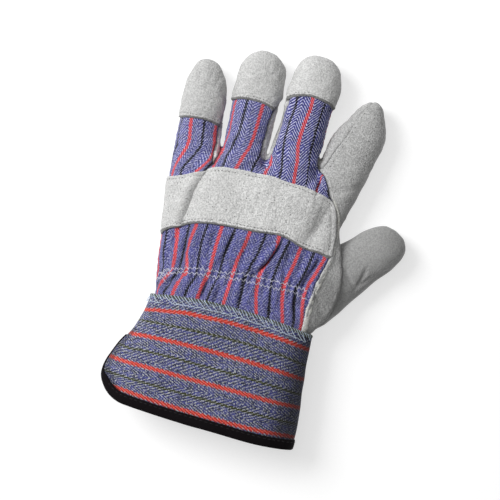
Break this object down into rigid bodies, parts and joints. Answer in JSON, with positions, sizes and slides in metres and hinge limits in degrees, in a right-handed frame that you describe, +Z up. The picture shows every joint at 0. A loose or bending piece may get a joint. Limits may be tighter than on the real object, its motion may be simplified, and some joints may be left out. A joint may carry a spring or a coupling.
{
  "type": "leather palm work glove",
  "caption": "Left work glove with a suede leather palm, thumb, index finger and fingertips, striped canvas back, knuckle strap, gathered wrist and flared safety cuff with a dark binding.",
  "frame": {"origin": "middle of the glove's bounding box in plan, on the surface that it rests on palm down", "axes": "+X towards the thumb's side, +Y towards the fingertips, +Z up out of the back of the hand"},
  "size_m": [0.1774, 0.2742, 0.0487],
  "materials": {
    "suede": "napped split leather, matte, light grey",
    "striped_canvas": "blue herringbone cotton with red and near-black stripes, matte",
    "cuff_canvas": "starched greyer blue herringbone cotton with red and olive stripes",
    "binding_tape": "near-black woven tape, matte"
  },
  "bodies": {
    "root": {"palm": "suede", "middle_finger_fronts": "suede", "index_side": "suede", "thumb": "suede", "back_canvas": "striped_canvas", "knuckle_strap": "suede", "little_fingertip_cap": "suede", "ring_fingertip_cap": "suede", "middle_fingertip_cap": "suede", "cuff": "cuff_canvas", "cuff_binding": "binding_tape"}
  },
  "joints": []
}
